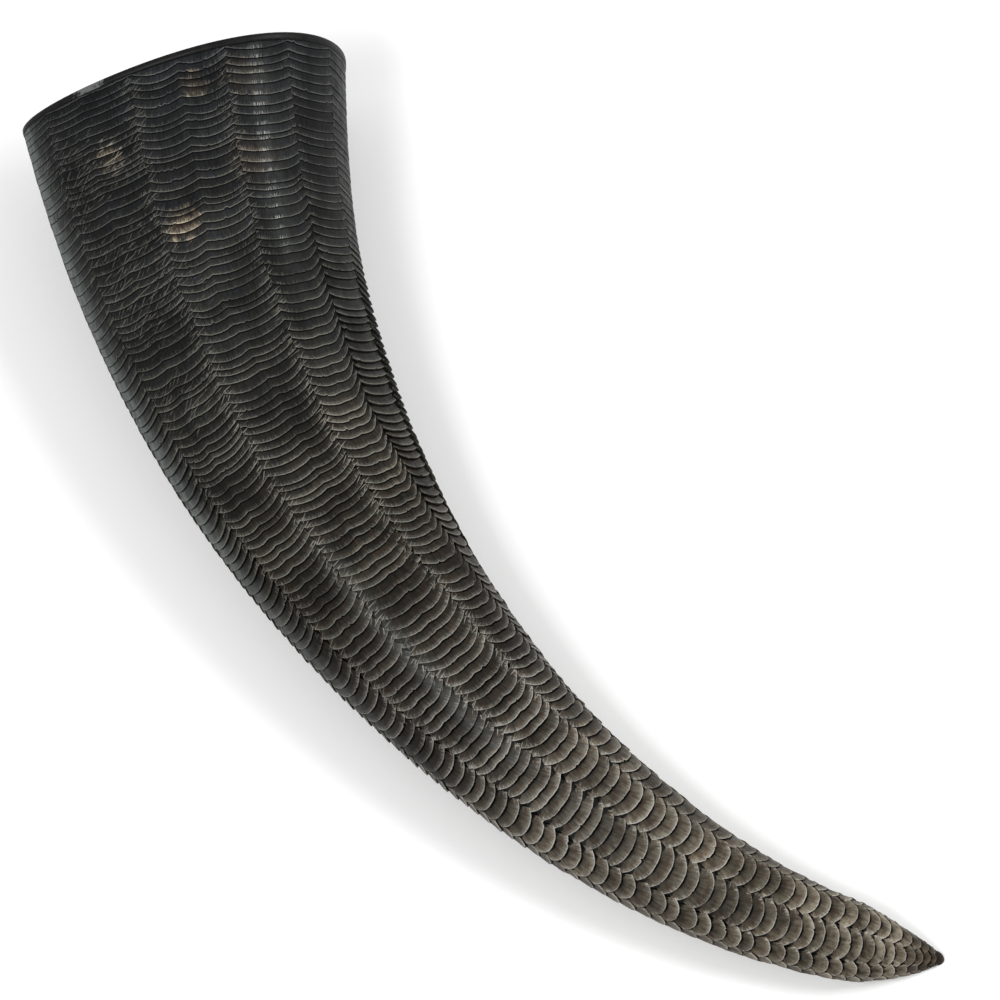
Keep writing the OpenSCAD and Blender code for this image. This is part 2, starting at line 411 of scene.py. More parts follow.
@dataclass
class ScaleTrack:
    """One track of carved scales: a closed strip whose top steps down at every free edge.

    The pairs anchor, bow, inset and lift hold near the mouth and the tip, and flare at a scale's root and
    free edge. A spread is the least and most share that the hand gives. The forks are the steps by which
    the rows catch up once they have slipped by a ring. The profile is a scale's rise along its length.
    """

    form: HornForm
    plan: TrackPlan
    number: int
    cut: TrackCut
    seed: int = 401
    end: float = 354.2
    margin: float = 0.4
    jitter: float = 0.04
    lean: float = 0.12
    tilt: float = 0.12
    stagger: float = 0.5
    least_gap: float = 0.22
    wide_fork: tuple[float, ...] = (1.25,) * 4
    narrow_fork: tuple[float, ...] = (0.8,) * 5
    fish_arc: float = 0.33
    anchor: Pair = (1.0, 0.55)
    bow: Pair = (2.1, 2.7)
    arc_spread: Pair = (0.88, 1.12)
    lobe_spread: Pair = (0.7, 1.3)
    fall_spread: Pair = (0.75, 1.25)
    lift_spread: Pair = (0.75, 1.2)
    fall_from: float = 0.45
    inset: Pair = (0.4, 1.05)
    inset_share: float = 0.35
    lift: Pair = (0.22, 0.8)
    lift_share: float = 0.95
    flare: Pair = (-1.3, 0.45)
    skirt_depth: float = 0.9
    skirt_share: float = 0.5
    step_back: float = 0.04
    # Depth of the painted shadow in the nicks once the scales grow long.
    late_cusp_shadow: float = 1.5
    middle_span: Pair = (0.05, 0.36)
    late_span: Pair = (0.4, 0.53)
    fish_span: Pair = (0.64, 0.92)
    slip_span: Pair = (0.3, 0.4)
    stagger_span: Pair = (0.3, 0.5)
    flare_span: Pair = (0.28, 0.55)
    deep_span: Pair = (0.15, 0.7)
    calm_end: Pair = (325.0, 350.0)
    profile: Stops = ((0.0, 0.0), (0.1, 0.38), (0.35, 0.74), (0.8, 0.97), (0.93, 1.0), (1.0, 0.88))

    def __post_init__(self) -> None:
        """Seeds the hand's unevenness and lays out the rows."""
        self.hand = random.Random(self.seed + self.number)
        self.across = [2 * j / self.cut.columns - 1 for j in range(self.cut.columns + 1)]
        self.top = len(self.across)
        self.columns = self.top + 3
        self.free_edges = self.cut_rows()
        self.widths = [self.width(sum(line) / len(line)) for line in self.free_edges]
        self.lifts = [self.hand.uniform(*self.lift_spread) for _ in self.free_edges]
        self.leans = [self.hand.uniform(-self.lean, self.lean) for _ in self.free_edges]
        self.tones = [self.hand.random() for _ in self.free_edges]

    def angles(self, along: float) -> list[float]:
        """Returns the angles of the track's two edges in radians."""
        return [self.plan.edge(self.number + k, along) for k in (0, 1)]

    def width(self, along: float) -> float:
        """Returns the track's width in millimetres at a distance along the middle line."""
        low, high = (self.form.at(along).point(angle) for angle in self.angles(along))
        return (high - low).length / MM

    def cut_rows(self) -> list[list[float]]:
        """Lays one free edge after the other, from the mouth to the tip.

        Returns:
            For each row, the distance along the middle line of its free edge at every column.
        """
        rows: list[list[float]] = [[self.plan.first_row - self.margin] * self.top]
        rings = self.plan.rings()
        ring, debt, forks = 0.0, self.hand.uniform(-0.5, 0.5), []
        while ring < len(rings) - 2:
            station = rings[int(ring)] / self.form.length
            late = self.stagger * (self.number % 2) * ramp(station, *self.stagger_span)
            staggered = max(0.0, ring + late + self.hand.uniform(-self.jitter, self.jitter))
            step = int(staggered)
            line = self.free_edge(len(rows), mix(rings[step], rings[step + 1], staggered - step))
            if max(line) > self.end:
                break
            gap = self.least_gap * self.plan.pitch(station)
            rows.append([max(here, before + gap) for here, before in zip(line, rows[-1])])
            slipped = ramp(station, *self.slip_span)
            debt += self.cut.slips[0] * (1 - slipped)
            if abs(debt) > 1:
                forks = list(self.wide_fork if debt > 0 else self.narrow_fork)
                debt -= math.copysign(1, debt)
            ring += (forks.pop() if forks else 1.0) + self.cut.slips[1] * slipped
        return rows

    def free_edge(self, row: int, along: float) -> list[float]:
        """Draws one free edge: a main arc, the gouge's two lobes, a ragged line and a few chips.

        Args:
            row: the row's number, which moves the raggedness.
            along: where the row's corners lie, along the middle line.

        Returns:
            The distance along the middle line at every column.
        """
        hand, station, width = self.hand, along / self.form.length, self.width(along)
        early = ramp(station, *self.middle_span)
        mouth, middle, late = self.cut.arcs
        arc = mix(mix(mouth, middle, early), late, ramp(station, *self.late_span))
        arc = mix(arc, self.fish_arc * width, ramp(station, *self.fish_span)) * hand.uniform(*self.arc_spread)
        anchor = mix(*self.anchor, ramp(station, 0.3, 0.5))
        lobe = mix(*self.cut.lobes, early) * (1 - ramp(station, 0.56, 0.74))
        lobe *= hand.uniform(*self.lobe_spread) * mix(1.0, 0.65, ramp(station, 0.42, 0.55))
        bow = mix(*self.bow, ramp(station, 0.45, 0.6))
        tilt = hand.uniform(-self.tilt, self.tilt)
        fall = ramp(station, 0.04, 0.2) * (1 - ramp(station, 0.42, 0.6)) * hand.uniform(*self.fall_spread)
        drift = 0.3 * noise.noise(Vector((along / 45, self.number * 3.1, 2.0)))
        drift += hand.uniform(-self.jitter, self.jitter)
        line = []
        for across in self.across:
            reach = arc * (anchor - abs(across) ** bow) + tilt * across + lobe * self.lobe(across, drift)
            outer = max(0.0, (abs(across) - self.fall_from) / (1 - self.fall_from))
            reach -= fall * self.cut.recede[across >= 0] * outer**2
            seed = Vector((across * width / 1.5, row * 2.7, self.number * 5.3))
            ragged = 0.1 * noise.noise(seed) + 0.07 * noise.noise(seed * 2.3)
            chip = 0.45 * ramp(noise.noise(seed * 0.8 + Vector((9.1, 4.4, 2.2))), 0.52, 0.64)
            line.append(along + reach + ragged - chip)
        return line

    def lobe(self, across: float, drift: float) -> float:
        """Returns the depth share of the gouge's two lobes, 0 at each cusp and 1 between."""
        share = (across + 1) / (drift + 1) if across < drift else (across - drift) / (1 - drift)
        return 1 - (2 * share - 1) ** 2

    def wear_and_glare(self, across: float, along: float) -> Vector:
        """Judges how use has marked a place, and where the painted glints and painted reflections go.

        Args:
            across: place across the track, -1 at its high end.
            along: distance along the middle line, in millimetres.

        Returns:
            The painted glints of a narrow column, the whiskers at the track's ends, and the painted sheen
            where light would glance off the polish.
        """
        low, high = (math.degrees(angle) for angle in self.angles(along))
        angle, station = mix(high, low, (across + 1) / 2), along / self.form.length
        # The first term is painted glints on one column; the haze, seam and flank terms are painted
        # reflections.
        flecks = bell(angle, 62, 3) * (1 - ramp(station, 0.12, 0.24))
        glint_haze = 0.1 * bell(angle, 61, 5) * (1 - ramp(station, 0.14, 0.26))
        seam_glare = 0.14 * bell(angle, 106, 5) * ramp(station, 0.36, 0.5) * (1 - ramp(station, 0.6, 0.66))
        flank = 0.55 * bell(angle, 169, 10) * (1 - ramp(station, 0.2, 0.7))
        whiskers = self.cut.whiskers[across > 0] * ramp(abs(across), 0.72, 0.9)
        whiskers *= mix(0.4, 0.85, ramp(station, 0.2, 0.32)) * (1 - 0.7 * ramp(station, 0.6, 0.7))
        return Vector((flecks, whiskers, max(glint_haze, seam_glare, flank)))

    def spot(self, column: int, row: int) -> tuple[int, int, int, float]:
        """Finds what a vertex of the strip belongs to.

        Args:
            column: 0 is the middle line below, and 1 and the last column are the skirts.
            row: counted over every step of every scale.

        Returns:
            The scale, its step, the place across the top, and the distance along the middle line.
        """
        scale, step = divmod(row, len(self.profile))
        j = min(max(column - 2, 0), self.top - 1)
        along = mix(self.free_edges[scale][j], self.free_edges[scale + 1][j], self.profile[step][0])
        return scale, step, j if column else self.top // 2, along + (0.0 if step else self.step_back)

    def below(self, column: int) -> bool:
        """Tells whether a column lies under the carved top."""
        return column in (0, 1, self.columns - 1)

    def place(self, column: int, row: int) -> Vector:
        """Places a vertex of the strip.

        Args:
            column: its column, as in spot.
            row: its row.

        Returns:
            The point in metres.
        """
        scale, step, j, along = self.spot(column, row)
        share, rise = self.profile[step]
        section, station, across = self.form.at(along), along / self.form.length, self.across[j]
        low, high = self.angles(along)
        flare = mix(*self.flare, share) * ramp(station, *self.flare_span)
        width = mix(self.widths[scale], self.widths[scale + 1], share)
        angle = mix(high, low, (across * (1 + 2 * flare / width) + 1) / 2)
        deeper = ramp(station, *self.deep_span)
        floor = min(mix(*self.inset, deeper), self.inset_share * section.half_width)
        if self.below(column):
            return section.point(angle, min(floor + self.skirt_depth, self.skirt_share * section.half_width))
        lift = mix(*self.lift, deeper) * (1 - 0.7 * ramp(along, *self.calm_end))
        lift *= self.lifts[scale] + self.leans[scale] * across
        fray = self.cut.fray * ramp(station, 0.14, 0.3) * (1 - 0.6 * ramp(station, 0.38, 0.5))
        fray *= max(0.0, (share - 0.4) / 0.6) ** 2
        return section.point(angle, floor - fray - min(lift, self.lift_share * floor) * rise)

    def mark(self, bm: bmesh.types.BMesh, lattice: Lattice, layers: list) -> None:
        """Stores what the finish reads, and keeps the cut edges sharp.

        Args:
            bm: the strip.
            lattice: its vertices by row and column.
            layers: carving (share of the way to the edge, tone, station), surface (place on the track), sides
            (distance from its middle, shade, depth of painted shadow at the cusps), reach (millimetres to
            root and edge) and wear with painted glare (whiskers, painted glints and a painted sheen).
        """
        carving, surface, sides, reach, wear_and_glare = layers
        for row, line in enumerate(lattice):
            for column, vertex in enumerate(line):
                scale, step, j, along = self.spot(column, row)
                across, share, station = self.across[j], self.profile[step][0], along / self.form.length
                half = self.form.half_width(min(station, 0.9)) * math.pi / self.plan.count
                # The cusp is the depth of painted shadow in the nicks at a row's ends.
                cusp = self.cut.cusp_shadows[across > 0] * ramp(station, 0.08, 0.2)
                cusp = mix(cusp, self.late_cusp_shadow, ramp(station, 0.5, 0.66))
                vertex[carving] = Vector((share, self.tones[scale], station))
                vertex[surface] = Vector((across * half, along, self.number * 31.0))
                vertex[sides] = Vector((abs(across), between(self.cut.shades, station), cusp))
                if self.below(column):
                    vertex[reach] = Vector((0.0, 9.0, 0.0))
                else:
                    depth = self.free_edges[scale + 1][j] - self.free_edges[scale][j]
                    vertex[reach] = Vector((share * depth, (1 - share) * depth, 0.0))
                    vertex[wear_and_glare] = self.wear_and_glare(across, along)
        steps = len(self.profile)
        for row, line in enumerate(lattice):
            if row % steps in (0, steps - 2, steps - 1):
                for left, right in zip(line[2:-3], line[3:-2]):
                    bm.edges.get((left, right)).smooth = False
        for line, following in zip(lattice, lattice[1:]):
            for column in (2, self.top + 1):
                bm.edges.get((line[column], following[column])).smooth = False

    def build(self) -> bpy.types.Object:
        """Builds the strip: its top, a skirt down each side and a middle line below.

        Returns:
            The track's object.
        """
        rows = (len(self.free_edges) - 1) * len(self.profile) - 1
        attributes = ("carving", "surface", "sides", "reach", "wear_and_glare")
        name = f"carved_scales_{self.number + 1:02d}"
        return wrapped_mesh(name, self.columns, rows, self.place, self.mark, attributes)


@dataclass
class HornBody:
    """The smooth horn under the scales: hollow wall, solid end, band and point."""

    form: HornForm
    band_width: float = 2.1
    band_groove: Pair = (0.25, 0.3)
    band_inset: float = 0.02
    lip_radius: float = 0.7
    lip_turns: int = 6
    wall_length: float = 236.0
    point_from: float = 339.0
    under_inset: float = 1.2
    around: int = 96
    inner_rows: int = 57
    outer_rows: int = 80
    end_rows: int = 31
    point_rows: int = 27
    ripple: float = 0.25
    ripple_length: float = 60.0

    def tube(self, name: str, profile: list[Triple], rough: int = 0, ring: bool = False) -> bpy.types.Object:
        """Builds a tube round the middle line.

        Args:
            name: the piece's name.
            profile: each row's distance along the middle line, its inset and its section's scale.
            rough: how many of the first rows are rippled; the faces past them take the second material.
            ring: whether the last row meets the first.

        Returns:
            The tube.
        """

        def place(column: int, row: int) -> Vector:
            """Places a vertex, given by its column and row, in metres."""
            angle = 2 * math.pi * column / self.around
            along, inset, share = profile[row]
            if row < rough:
                pore = Vector((math.cos(angle) * 4, math.sin(angle) * 4, along / self.ripple_length))
                inset += self.ripple * noise.noise(pore)
            return self.form.at(along).point(angle, inset, share)

        def mark(bm: bmesh.types.BMesh, lattice: Lattice, layers: list) -> None:
            """Gives the faces past the rough rows the second material."""
            for vertex in (vertex for line in lattice[rough + 1 :] for vertex in line):
                for face in vertex.link_faces:
                    face.material_index = 1

        rows = len(profile) if ring else len(profile) - 1
        return wrapped_mesh(name, self.around, rows, place, mark if rough else None, ring=ring)

    def band(self) -> bpy.types.Object:
        """Builds the polished band: a short tube with a rounded lip inside and out.

        Returns:
            The band.
        """
        bends = [math.pi / 2 * i / self.lip_turns for i in range(self.lip_turns + 1)]
        lip = [(self.lip_radius * (1 - math.cos(b)), self.lip_radius * (1 - math.sin(b))) for b in bends]
        width, (crease, groove) = self.band_width, self.band_groove
        outside = lip + [(width * 0.55, 0.0), (width - crease, self.band_inset), (width, groove)]
        inside = [(width, self.band_inset)] + lip[::-1]
        profile = [(along, inset, 1.0) for along, inset in outside]
        profile += [(along, self.form.wall - inset, 1.0) for along, inset in inside]
        return self.tube("polished_band", profile, ring=True)

    def sheath(self) -> bpy.types.Object:
        """Builds the hollow wall: out of the hollow's closed end, over the mouth, and back along the outside.

        Returns:
            The wall, whose outer faces take the second material.
        """
        profile = []
        for row in range(self.inner_rows):
            share = 1 - row / (self.inner_rows - 1)
            along = mix(self.band_width, self.form.hollow_length, math.sin(math.pi / 2 * share))
            profile.append((along, self.form.wall, self.form.hollow_share(along)))
        for row in range(self.outer_rows):
            along = mix(self.band_width, self.wall_length, row / (self.outer_rows - 1))
            profile.append((along, self.under_inset, 1.0))
        return self.tube("horn_sheath", profile, rough=self.inner_rows)

    def solid_end(self) -> bpy.types.Object:
        """Builds the solid horn between the hollow wall and the point."""
        shares = [row / (self.end_rows - 1) for row in range(self.end_rows)]
        profile = [(mix(self.wall_length, self.point_from, share), self.under_inset, 1.0) for share in shares]
        return self.tube("solid_horn", profile)

    def point(self) -> bpy.types.Object:
        """Builds the smooth point, which rises from under the last scales to the horn's full size.

        Returns:
            The point.
        """
        profile = []
        for row in range(self.point_rows):
            bend = math.pi / 2 * row / (self.point_rows - 1)
            along = mix(self.point_from, self.form.length, math.sin(bend))
            inset = self.under_inset * (1 - ramp(along, self.point_from + 13, self.form.length - 0.5))
            profile.append((along, min(inset, 0.5 * self.form.at(along).half_width), 1.0))
        return self.tube("buffed_point", profile)


@dataclass(frozen=True)
class Spot:
    """A marked patch of the horn: where it lies, its radius in millimetres, and how strong it is."""

    station: float
    angle: float
    radius: float
    strength: float


class Socket(str, Enum):
    """Inputs of the Principled shader that the finishes set."""

    COLOUR = "Base Color"
    ROUGHNESS = "Roughness"
    NORMAL = "Normal"
    SPECULAR = "Specular IOR Level"


class Nodes:
    """Adds nodes and links to a node tree."""

    def __init__(self, tree: bpy.types.NodeTree) -> None:
        """Keeps the tree that the nodes go to."""
        self.tree = tree

    def fill(self, socket: Plug, value: object) -> None:
        """Links an output to an input, or sets the input's own value.

        Args:
            socket: the input.
            value: the output that feeds it, or the value that it holds; a colour is given as "#rrggbb".
        """
        if isinstance(value, Plug):
            self.tree.links.new(value, socket)
        else:
            socket.default_value = linear(value) if isinstance(value, str) else value

    def add(self, kind: str, links: dict | None = None, **settings: object) -> bpy.types.Node:
        """Adds one node.

        Args:
            kind: the node's type, such as "ShaderNodeMix".
            links: for an input, by name or index, the output that feeds it or the value that it holds.
            settings: the node's own properties.

        Returns:
            The new node.
        """
        node = self.tree.nodes.new(kind)
        for key, value in settings.items():
            setattr(node, key, value)
        for key, value in (links or {}).items():
            self.fill(node.inputs[key], value)
        return node

    def maths(self, operation: str, first: object, second: object = 0.0, third: object = 0.0) -> Plug:
        """Combines two or three numbers and returns the result's output."""
        return self.add("ShaderNodeMath", {0: first, 1: second, 2: third}, operation=operation).outputs[0]

    def times(self, first: object, *factors: object) -> Plug:
        """Multiplies numbers, one after the other, and returns the product's output."""
        for factor in factors:
            first = self.maths("MULTIPLY", first, factor)
        return first

    def blend(self, share: object, low: object, high: object) -> Plug:
        """Mixes two colours and returns the result's output."""
        return self.add("ShaderNodeMix", {0: share, 6: low, 7: high}, data_type="RGBA").outputs[2]

    def rise(self, value: object, start: float, end: float, low: float = 0.0, high: float = 1.0) -> Plug:
        """Maps a value smoothly, from start and end to low and high, and returns the result's output."""
        ends = {"Value": value, "From Min": start, "From Max": end, "To Min": low, "To Max": high}
        return self.add("ShaderNodeMapRange", ends, interpolation_type="SMOOTHSTEP").outputs["Result"]

    def noise(self, vector: Plug, scale: Triple, detail: float) -> Plug:
        """Adds noise over a vector, with its scale in features for each unit of the vector."""
        mapped = self.add("ShaderNodeMapping", {"Vector": vector, "Scale": scale}).outputs[0]
        settings = {"Vector": mapped, "Scale": 1.0, "Detail": detail, "Roughness": 0.6}
        return self.add("ShaderNodeTexNoise", settings).outputs["Fac"]

    def stops(self, value: Plug, stops: ColourStops) -> Plug:
        """Adds a colour ramp.

        Args:
            value: where on the ramp.
            stops: (place, hex colour) pairs, in order.

        Returns:
            The colour's output.
        """
        node = self.add("ShaderNodeValToRGB", {"Fac": value})
        elements = node.color_ramp.elements
        while len(elements) < len(stops):
            elements.new(0.5)
        for element, (place, colour) in zip(elements, stops):
            element.position = place
            element.color = linear(colour)
        return node.outputs["Color"]

    def near(self, form: HornForm, place: Plug, spots: tuple[Spot, ...], ragged: Plug) -> Plug:
        """Measures how strongly the nearest of some spots is felt.

        Args:
            form: the horn that the spots lie on.
            place: the place in object coordinates.
            spots: the spots.
            ragged: noise that makes their outlines ragged.

        Returns:
            The output of the felt strength.
        """
        felt = None
        for spot in spots:
            ends = {0: place, 1: form.section(spot.station).point(math.radians(spot.angle))}
            away = self.add("ShaderNodeVectorMath", ends, operation="DISTANCE").outputs["Value"]
            away = self.maths("MULTIPLY_ADD", ragged, 2.4 * spot.radius * MM, away)
            inside = self.rise(away, spot.radius * 2.2 * MM, spot.radius * 1.5 * MM, 0.0, spot.strength)
            felt = inside if felt is None else self.maths("MAXIMUM", felt, inside)
        return felt


class Graph(Nodes):
    """The nodes of one new material."""

    def __init__(self, name: str) -> None:
        """Starts a material that holds a Principled shader.

        Args:
            name: the material's name.
        """
        self.material = bpy.data.materials.new(name)
        self.material.use_nodes = True
        super().__init__(self.material.node_tree)

    def feed(self, socket: Socket, value: object) -> None:
        """Links an output to the shader, or sets the shader's own value."""
        self.fill(self.tree.nodes["Principled BSDF"].inputs[socket.value], value)

    def bump(self, height: Plug, strength: float, depth: float) -> None:
        """Gives the shader a fine relief, its depth in millimetres."""
        relief = {"Height": height, "Strength": strength, "Distance": depth * MM}
        self.feed(Socket.NORMAL, self.add("ShaderNodeBump", relief).outputs[0])


@dataclass(frozen=True)
class CarvedHorn:
    """Gouge-cut buffalo horn, rubbed with oil: dark and satin, with thin translucent edges that look pale.

    Stops are read by station. The fields that end in mm are distances from a scale's root or free edge: where
    a colour sets in and where it is full. Some colours are painted light and shade: darker roots, shadow in
    the crevices, a highlight towards each free edge, a reflected sheen and glints.
    """

    form: HornForm
    spots: tuple[Spot, ...] = (
        Spot(0.136, 99, 6.5, 0.75), Spot(0.066, 121, 5.5, 0.42), Spot(0.03, 85, 4.5, 0.5),
        Spot(0.1, 68, 9.0, 0.2), Spot(0.03, 66, 8.0, 0.2), Spot(0.657, 48, 6.0, 0.2),
        Spot(0.381, 44, 9.0, 0.12), Spot(0.328, 63, 9.0, 0.07),
    )
    scored: tuple[Spot, ...] = (
        Spot(0.165, 124, 22.0, 0.36), Spot(0.068, 121, 8.0, 0.65),
        Spot(0.07, 145, 18.0, 0.34), Spot(0.26, 128, 12.0, 0.3),
    )
    # Painted shade at each scale's root, under the free edge before it.
    root_shade_stops: ColourStops = (
        (0.0, "#0d0e0f"), (0.3, "#0b0b0a"), (0.55, "#0d0b09"), (0.78, "#16120e"), (1.0, "#110d09"),
    )
    body_stops: ColourStops = (
        (0.0, "#171819"), (0.22, "#1a1a18"), (0.42, "#161511"), (0.58, "#24221e"),
        (0.7, "#454139"), (0.86, "#454036"), (0.955, "#5a5448"), (0.985, "#2a2219"),
    )
    warm_stops: ColourStops = ((0.3, "#2a211a"), (0.55, "#332820"), (0.72, "#4c3d31"), (1.0, "#463729"))
    edge_stops: ColourStops = (
        (0.0, "#535453"), (0.2, "#5d5c55"), (0.35, "#706f66"), (0.46, "#6a6961"),
        (0.56, "#88857e"), (0.7, "#9d9a92"), (0.955, "#9f9a8f"), (0.985, "#5d5547"),
    )
    cool: str = "#171a1f"
    patch_root: str = "#35271d"
    patch_edge: str = "#8a7d6b"
    patch_line: str = "#cfc2aa"
    # Painted reflection: the grey sheen where light glances off the polish.
    painted_sheen: str = "#7b8180"
    # Painted glints on the free edges.
    fleck: str = "#b9b9b4"
    hairline: str = "#c4beb0"
    # Painted shadow in the crevices, cusp nicks and gaps.
    crevice_shadow: str = "#070708"
    root_mm: Pair = (0.1, 0.7)
    # Where the painted highlight towards a free edge sets in and where it is full.
    edge_highlight_mm: Pair = (1.5, 0.3)
    comb_mm: Pair = (1.4, 0.3)
    line_mm: Pair = (0.34, 0.2)
    crevice_shadow_mm: Pair = (0.52, 0.16)
    crevice_shadow_growth: float = 0.27
    roughness: Pair = (0.36, 0.52)
    specular: float = 0.06
    relief: float = 0.14
    hairs: tuple[Triple, ...] = ((-20.0, 1.3, 0.0), (-46.0, 1.0, 50.0))

    def material(self) -> bpy.types.Material:
        """Builds the finish of the scales."""
        return CarvedGraph(self).build()


class CarvedGraph(Graph):
    """The carved finish, laid on in layers over what every track stores about its vertices."""

    def __init__(self, look: CarvedHorn) -> None:
        """Adds the nodes that read the tracks' attributes, and the noise laid along the tracks.

        Args:
            look: the finish's colours and measures.
        """
        super().__init__("carved_buffalo_horn")
        self.look = look
        self.place = self.add("ShaderNodeTexCoord").outputs["Object"]
        self.surface = self.attribute("surface")
        self.to_edge, self.tone, self.station = self.split("carving")
        self.side, self.shade, self.cusp = self.split("sides")
        self.root_mm, self.edge_mm, _ = self.split("reach")
        self.flecks, self.whiskers, self.reflection_sheen = self.split("wear_and_glare")
        self.grain = self.noise(self.surface, (1.7, 0.18, 1.0), 3.0)
        self.hair = self.noise(self.surface, (3.0, 0.4, 1.0), 2.0)
        self.cloud = self.noise(self.surface, (0.28, 0.2, 1.0), 3.0)
        self.drift = self.noise(self.surface, (0.09, 0.06, 0.7), 2.0)
        self.blotch = self.noise(self.surface, (0.5, 0.4, 1.0), 3.0)
        self.late = self.rise(self.station, 0.35, 0.7)
        self.colour = self.stops(self.station, look.body_stops)
        self.pale = self.stops(self.station, look.edge_stops)

    def attribute(self, name: str) -> Plug:
        """Returns a vector that the mesh stores."""
        return self.add("ShaderNodeAttribute", attribute_name=name).outputs["Vector"]

    def split(self, name: str) -> bpy.types.NodeOutputs:
        """Returns the three numbers of a vector that the mesh stores."""
        return self.add("ShaderNodeSeparateXYZ", {"Vector": self.attribute(name)}).outputs

    def paint(self, share: Plug, colour: object) -> None:
        """Lays a colour over the colour so far."""
        self.colour = self.blend(share, self.colour, colour)

    def build(self) -> bpy.types.Material:
        """Lays the layers over each other.

        Returns:
            The material.
        """
        for layer in (self.body, self.patches, self.edges, self.marks_and_glare, self.painted_shadows):
            layer()
        self.feed(Socket.COLOUR, self.colour)
        self.feed(Socket.ROUGHNESS, self.rise(self.cloud, 0.3, 0.7, *self.look.roughness))
        self.feed(Socket.SPECULAR, self.look.specular)
        self.bump(self.maths("ADD", self.grain, self.times(self.hair, 0.5)), 0.5, self.look.relief)
        return self.material

    def body(self) -> None:
        """Clouds, warms and mottles the scales, and paints shade towards their roots."""
        cool = self.times(self.rise(self.cloud, 0.5, 0.62, 0.0, 0.48), self.rise(self.station, 0.5, 0.1))
        self.paint(cool, self.look.cool)
        warm = self.times(self.rise(self.blotch, 0.56, 0.4, 0.0, 0.5), self.rise(self.station, 0.2, 0.45))
        self.paint(warm, self.stops(self.station, self.look.warm_stops))
        level = self.times(
            self.rise(self.tone, 0.0, 1.0, 0.75, 1.3),
            self.rise(self.drift, 0.3, 0.7, 0.75, 1.3),
            self.rise(self.grain, 0.28, 0.72, 0.6, 1.4),
            self.maths("MULTIPLY_ADD", self.late, self.rise(self.blotch, 0.35, 0.65, -0.25, 0.3), 1.0),
            # Painted shade and light: late along the horn, darker near each root and lighter towards the free
            # edge.
            self.maths("MULTIPLY_ADD", self.late, self.rise(self.to_edge, 0.0, 0.75, -0.6, 0.12), 1.0),
            self.shade,
        )
        scaled = {0: self.colour, "Scale": level}
        body = self.add("ShaderNodeVectorMath", scaled, operation="SCALE").outputs[0]
        # Painted shade: the dark root colour, where the free edge before it would cast its shadow.
        root = self.stops(self.station, self.look.root_shade_stops)
        self.colour = self.blend(self.rise(self.root_mm, *self.look.root_mm), root, body)

    def patches(self) -> None:
        """Lets paler horn show through at the spots."""
        patch = self.near(self.look.form, self.place, self.look.spots, self.blotch)
        patch = self.times(patch, self.rise(self.tone, 0.1, 0.7, 0.4, 1.0))
        tan = self.blend(self.rise(self.to_edge, 0.2, 0.95), self.look.patch_root, self.look.patch_edge)
        self.paint(self.times(patch, self.rise(self.hair, 0.42, 0.58, 0.3, 1.0)), tan)
        self.pale = self.blend(patch, self.pale, self.look.patch_line)

    def edges(self) -> None:
        """Adds the pale free edges: a painted highlight, the gouge's comb and a thin worn line."""
        worn = self.times(
            self.rise(self.hair, 0.3, 0.55, 0.3, 1.0),
            self.rise(self.drift, 0.34, 0.58, 0.25, 1.0),
            self.shade,
            self.rise(self.tone, 0.0, 0.8, 0.6, 1.1),
        )
        # Painted highlight: each scale lightened over its last millimetre or so, as if lit from above.
        growth = self.rise(self.station, 0.1, 0.5, 0.08, 0.3)
        edge_highlight = self.times(self.rise(self.edge_mm, *self.look.edge_highlight_mm), growth)
        self.paint(self.times(edge_highlight, worn), self.pale)
        comb = self.times(
            self.rise(self.edge_mm, *self.look.comb_mm),
            self.rise(self.hair, 0.54, 0.62, 0.0, 0.75),
            self.rise(self.side, 0.3, 0.95, 0.3, 1.0),
        )
        line = self.times(self.rise(self.edge_mm, *self.look.line_mm), worn)
        self.paint(self.maths("MAXIMUM", comb, line), self.pale)

    def marks_and_glare(self) -> None:
        """Adds a painted sheen of reflections, painted glints and the hairlines of use."""
        # Painted reflection: a grey sheen where light would glance off the polish.
        cloud = self.rise(self.cloud, 0.35, 0.6, 0.45, 1.1)
        self.paint(self.times(self.reflection_sheen, cloud, self.rise(self.hair, 0.3, 0.6, 0.6, 1.0)), self.look.painted_sheen)
        # Painted glints: bright flecks on the free edges of one column.
        fleck = self.times(
            self.rise(self.flecks, 0.2, 0.9),
            self.rise(self.hair, 0.5, 0.58),
            self.rise(self.edge_mm, 1.2, 0.5, 0.0, 0.5),
            self.rise(self.tone, 0.1, 0.7, 0.4, 1.0),
        )
        self.paint(fleck, self.look.fleck)
        scored = self.near(self.look.form, self.place, self.look.scored, self.blotch)
        scored = self.maths("MAXIMUM", self.whiskers, scored)
        self.paint(self.times(self.scratches(), scored), self.blend(0.35, self.pale, self.look.hairline))

    def painted_shadows(self) -> None:
        """Paints shadow at the roots, deeper at the ends of a row, and in the gaps between the late tracks.
        """
        nick_shadow = self.times(self.cusp, self.rise(self.side, 0.68, 1.0))
        depth = self.maths("SUBTRACT", self.root_mm, nick_shadow)
        depth = self.maths("SUBTRACT", depth, self.times(self.late, self.look.crevice_shadow_growth))
        crevice_shadow = self.rise(depth, *self.look.crevice_shadow_mm, 0.0, 0.95)
        # Painted shadow in the gaps at the ends of the late tracks' rows.
        ends = self.rise(self.side, 0.8, 1.0, 0.0, 0.85)
        gap = self.times(ends, self.rise(self.to_edge, 0.6, 0.3), self.late)
        self.paint(self.maths("MAXIMUM", crevice_shadow, gap), self.look.crevice_shadow)

